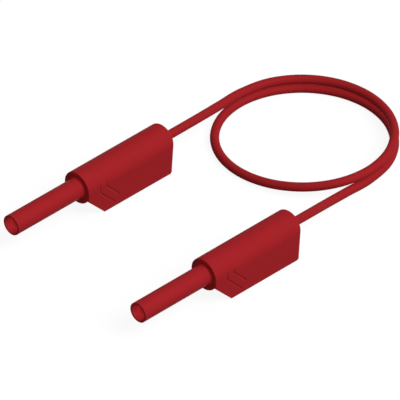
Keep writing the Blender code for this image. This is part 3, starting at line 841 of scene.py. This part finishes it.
# Between the bands, the columns at the sector's two sides fall in the slits
half_slit = cage.maths("DIVIDE", cage.maths("DIVIDE", cage.size("Slit"), cage.size("Bulge radius")), 2.0)
slat_limit = cage.maths("SUBTRACT", 0.5, cage.maths("DIVIDE", half_slit, sector))
in_slit = cage.maths("GREATER_THAN", cage.maths("ABSOLUTE", share_round), slat_limit)
past_band = cage.maths("GREATER_THAN", share_along, band_share)
before_band = cage.maths("LESS_THAN", share_along, cage.maths("SUBTRACT", 1.0, band_share))
cut_here = cage.maths("MULTIPLY", in_slit, cage.maths("MULTIPLY", past_band, before_band))
slit_sheet = cage.add(
    "GeometryNodeDeleteGeometry", {"domain": "FACE"}, {"Geometry": sheet.outputs[0], "Selection": cut_here}
)
bent = cage.add(
    "GeometryNodeSetPosition", {}, {"Geometry": slit_sheet.outputs[0], "Position": bent_place.outputs[0]}
)
slat = cage.add("GeometryNodeGeometryToInstance", {}, {"Geometry": bent.outputs[0]})
turns = cage.add(
    "GeometryNodeDuplicateElements",
    {"domain": "INSTANCE"},
    {"Geometry": slat.outputs[0], "Amount": cage.size("Slats")},
)
turned_by = cage.add(
    "ShaderNodeCombineXYZ", {}, {"Y": cage.maths("MULTIPLY", turns.outputs["Duplicate Index"], sector)}
)
all_round = cage.add(
    "GeometryNodeRotateInstances", {}, {"Instances": turns.outputs[0], "Rotation": turned_by.outputs[0]}
)
cage.result(all_round.outputs[0], cage.size("Material"))

carrier = shown("slotted_cage", bpy.data.meshes.new("slotted_cage"))
cage.apply_to(carrier)
weld = carrier.modifiers.new("Weld", "WELD")
weld.merge_threshold = CAGE_MERGE
wall = carrier.modifiers.new("Sheet", "SOLIDIFY")
wall.thickness = CAGE_SHEET
wall.offset = -1.0
cage_mesh = finely_shaded(plain_mesh(carrier, "slotted_cage"), 40.0)
on_both_plugs(cage_mesh, "slotted_cage", "contact_spring", bronze)


# Stacking socket
# In the flag, a turned contact tube in an insulating sleeve, set back from the housing's rear face. The
# shroud of a second plug goes round the sleeve.
contact_low, contact_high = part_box("socket_contact_a")
SLEEVE_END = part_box("socket_sleeve_a")[1].y - PLUGS["a"].y
CONTACT_FRONT = contact_low.y - PLUGS["a"].y
CONTACT_END = contact_high.y - PLUGS["a"].y
CONTACT_AT = SLEEVE_FOOT_AT + FIT
SLEEVE_WALL = 0.4 * MM
SLEEVE_LIP = 1.0 * MM
LIP_BORE_R = 2.15 * MM
CONTACT_R = 2.45 * MM
CONTACT_BORE_R = 2.0 * MM
CONTACT_END_WALL = 1.8 * MM
RIVET_R = 1.2 * MM
LEAD_IN = 0.2 * MM
SLEEVE_EDGE = 0.2 * MM
SLEEVE_STEPS = 80
SLEEVE_EDGE_STEPS = 5

sleeve_bore = SLEEVE_R - SLEEVE_WALL
edge = SLEEVE_EDGE
sleeve_profile = [
    (SLEEVE_FOOT_AT, SLEEVE_R),
    *arc((SLEEVE_END - edge, SLEEVE_R - edge), edge, 90, 0, SLEEVE_EDGE_STEPS),
    *arc((SLEEVE_END - LEAD_IN, LIP_BORE_R + LEAD_IN), LEAD_IN, 0, -90, SLEEVE_EDGE_STEPS),
    (SLEEVE_END - SLEEVE_LIP, LIP_BORE_R), (SLEEVE_END - SLEEVE_LIP, sleeve_bore),
    (SLEEVE_FOOT_AT, sleeve_bore),
]
sleeve_mesh = turned("stacking_sleeve", sleeve_profile, SLEEVE_STEPS, closed=True, drop=SOCKET_DROP)
finely_shaded(sleeve_mesh)
on_both_plugs(sleeve_mesh, "stacking_sleeve", "socket_sleeve", red_moulding)

bore_floor = CONTACT_AT + CONTACT_END_WALL
contact_profile = [
    (CONTACT_FRONT, 0.0), (CONTACT_FRONT, RIVET_R), (CONTACT_AT, RIVET_R), (CONTACT_AT, CONTACT_R),
    (CONTACT_END, CONTACT_R), (CONTACT_END, CONTACT_BORE_R + LEAD_IN / 2),
    (CONTACT_END - LEAD_IN, CONTACT_BORE_R), (bore_floor, CONTACT_BORE_R), (bore_floor, 0.0),
]
contact_mesh = finely_shaded(turned("stacking_contact", contact_profile, PIN_STEPS, drop=SOCKET_DROP))
on_both_plugs(contact_mesh, "stacking_contact", "socket_contact", nickel)


# Link plate and the cable's stripped ends
# Sealed inside each housing: a nickel-plated plate from the pin to the socket contact, the cable's white
# inner insulation and its bare copper strands.
insulation = Finish("white_insulation", Base_Color=screen_colour(225, 222, 214), Roughness=0.5)
place = insulation.node("ShaderNodeTexCoord", output="Object")
waxy = insulation.noise(place, 900.0, 3.0)
insulation.surface(
    Base_Color=insulation.between(waxy, screen_colour(218, 214, 204), screen_colour(230, 228, 222)),
    Roughness=0.42 + 0.15 * waxy,
)
copper = Finish("copper_strands", Base_Color=screen_colour(190, 110, 78), Metallic=1.0, Roughness=0.35)
place = copper.node("ShaderNodeTexCoord", output="Object")
drawn_out = copper.node("ShaderNodeMapping", {}, {"Vector": place, "Scale": (1.0, 0.1, 1.0)})
strands = copper.noise(drawn_out, 4000.0, 1.0)
copper.surface(
    Base_Color=copper.between(strands, screen_colour(168, 92, 62), screen_colour(206, 126, 92)),
    Roughness=0.28 + 0.2 * strands,
    Normal=copper.relief(strands, 0.05 * MM, 0.8),
)
for tag in PLUGS:
    for node, finish in (("contact_link", nickel), ("core", insulation), ("conductor", copper)):
        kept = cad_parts[f"{node}_{tag}"]
        kept.data.materials.clear()
        kept.data.materials.append(finish.material)


# Table and light
# A plain white table under a large soft lamp, high on the right. As in the drawing, the cable and the
# shrouds shade only the table and nothing shades them, so the lamp is there three times, for the table, for
# them and for the rest.
TABLE_SIZE = 3.0
TABLE_DROP = 0.02 * MM
TABLE_MATT = 0.3
TABLE_SHADED = 0.12
TABLE_GLOW = 0.91
ROOM_LIGHT = 0.22
KEY_STRENGTH = 2.4
KEY_FROM = Vector((0.66, 0.08, 0.75))
KEY_SOFTNESS = math.radians(36.0)


def in_view(shading):
    """1 for what the camera sees, also by way of gloss or glass, and 0 for the light on the lead."""
    camera_ray, glossy_ray, glass_ray = (
        shading.node("ShaderNodeLightPath", output=f"Is {kind} Ray")
        for kind in ("Camera", "Glossy", "Transmission")
    )
    return camera_ray | glossy_ray | glass_ray


table_material = bpy.data.materials.new("white_table")
white_table = Shading(table_material)
matt = white_table.node("ShaderNodeBsdfDiffuse", {}, {"Color": (*[TABLE_MATT] * 3, 1.0)})
shaded = white_table.node("ShaderNodeBsdfDiffuse", {}, {"Color": (*[TABLE_SHADED] * 3, 1.0)})
glow = white_table.node("ShaderNodeEmission", {}, {"Strength": TABLE_GLOW})
pale = white_table.node("ShaderNodeAddShader", {}, {0: shaded, 1: glow})
table_top = white_table.node("ShaderNodeMixShader", {}, {0: in_view(white_table), 1: matt, 2: pale})
white_table.feed(white_table.tree.nodes["Material Output"].inputs["Surface"], table_top)
white_table.tree.nodes.remove(white_table.tree.nodes["Principled BSDF"])

top = bmesh.new()
bmesh.ops.create_grid(top, x_segments=1, y_segments=1, size=TABLE_SIZE / 2)
bmesh.ops.translate(top, vec=(0.0, 0.0, -TABLE_DROP), verts=top.verts)
table_mesh = bpy.data.meshes.new("table")
top.to_mesh(table_mesh)
top.free()
table = shown("table", table_mesh)
table_mesh.materials.append(table_material)

world = bpy.data.worlds.new("room")
bpy.context.scene.world = world
room = Shading(world)
background = room.tree.nodes["Background"]
background.inputs["Color"].default_value = (1.0, 1.0, 1.0, 1.0)
room.feed(background.inputs["Strength"], ROOM_LIGHT + (1.0 - ROOM_LIGHT) * in_view(room))


def linking(name, members, state):
    """A collection that a lamp's light or shadow links take in or leave out."""
    linked = bpy.data.collections.new(name)
    for member in members:
        linked.objects.link(member)
    for entry in linked.collection_objects:
        entry.light_linking.link_state = state
    return linked


def key_lamp(name, lit):
    """The large soft lamp, for what its links let it light."""
    lamp_data = bpy.data.lights.new(name, "SUN")
    lamp_data.energy = KEY_STRENGTH
    lamp_data.angle = KEY_SOFTNESS
    lamp = bpy.data.objects.new(name, lamp_data)
    bpy.context.scene.collection.objects.link(lamp)
    lamp.rotation_euler = KEY_FROM.to_track_quat("Z", "Y").to_euler()
    lamp.light_linking.receiver_collection = lit
    return lamp


slim = [cable_jacket, *shrouds]
key_lamp("key_on_table", linking("table_only", [table], "INCLUDE"))
key_on_slim = key_lamp("key_on_slim", linking("slim_only", slim, "INCLUDE"))
key_on_slim.light_linking.blocker_collection = linking("none_shade", [*slim, *housings], "EXCLUDE")
key_on_rest = key_lamp("key_on_rest", linking("the_rest", [table, *slim], "EXCLUDE"))
key_on_rest.light_linking.blocker_collection = linking("slim_pass_light", slim, "EXCLUDE")
